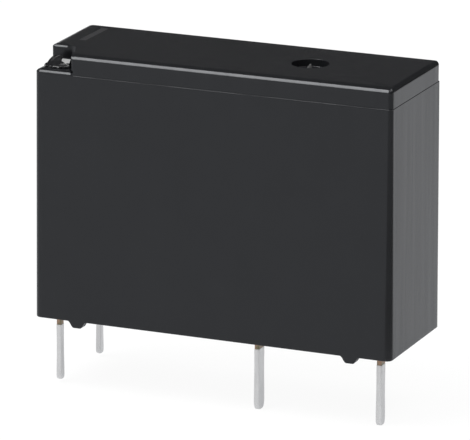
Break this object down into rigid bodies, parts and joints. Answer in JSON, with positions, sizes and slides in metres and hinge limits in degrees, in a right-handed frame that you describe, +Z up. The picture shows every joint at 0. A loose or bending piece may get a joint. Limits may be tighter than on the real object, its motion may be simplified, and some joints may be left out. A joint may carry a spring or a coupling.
{
  "type": "pcb power relay",
  "caption": "Slim upright black relay with flat solder pins under a sealed rectangular case; inside, a coil pulls an armature that closes a contact leaf on a fixed contact.",
  "frame": {"origin": "middle of the case's plan on the board plane, at the bottoms of the standoff feet", "axes": "+X from the coil end to the contact end, +Y to the side that has only the rear coil pin, +Z up from the board"},
  "size_m": [0.0204, 0.007, 0.0184],
  "materials": {
    "case_plastic": "fine spark-eroded black moulding",
    "base_plastic": "plain black moulding",
    "sealing_resin": "cast epoxy, smooth",
    "tinned_strip": "copper alloy strip, satin tin plate",
    "bobbin_plastic": "natural ivory moulding",
    "copper_wire": "enamelled copper wire, wound in layers",
    "solder": "bright solder",
    "magnet_iron": "soft iron, dull nickel plate",
    "spring_bronze": "rolled bronze leaf",
    "card_plastic": "natural white moulding",
    "spring_copper": "rolled copper alloy leaf",
    "contact_silver": "silver alloy contact",
    "rivet_brass": "plain rivet"
  },
  "bodies": {
    "frame": {"case": "case_plastic", "base": "base_plastic", "sealing_resin": "sealing_resin", "coil_terminal_front": "tinned_strip", "coil_terminal_rear": "tinned_strip", "fixed_terminal": "tinned_strip", "moving_terminal": "tinned_strip", "bobbin": "bobbin_plastic", "coil_winding": "copper_wire", "coil_solder_joints": "solder", "core": "magnet_iron", "yoke": "magnet_iron", "hinge_spring": "spring_bronze", "fixed_contact": "contact_silver", "spring_rivets": "rivet_brass"},
    "armature": {"armature": "magnet_iron", "card": "card_plastic"},
    "contact_arm": {"moving_spring": "spring_copper", "moving_contact": "contact_silver"}
  },
  "joints": [
    {"name": "armature_hinge", "type": "hinge", "parent": "frame", "child": "armature", "pos_m": [-0.0093, 0, 0.01135], "axis": [0, 1, 0], "range_deg": [0, 3], "stiffness_Nm_per_rad": 0.01, "springref_deg": -4.98},
    {"name": "contact_leaf_flex", "type": "hinge", "parent": "frame", "child": "contact_arm", "pos_m": [0.00759, 0, 0.00935], "axis": [0, -1, 0], "range_deg": [0, 6.17], "stiffness_Nm_per_rad": 0.003, "deforming": ["moving_spring"]}
  ],
  "couplings": [
    {"joint": "contact_leaf_flex", "follows": "armature_hinge", "ratio": 2.0547}
  ]
}
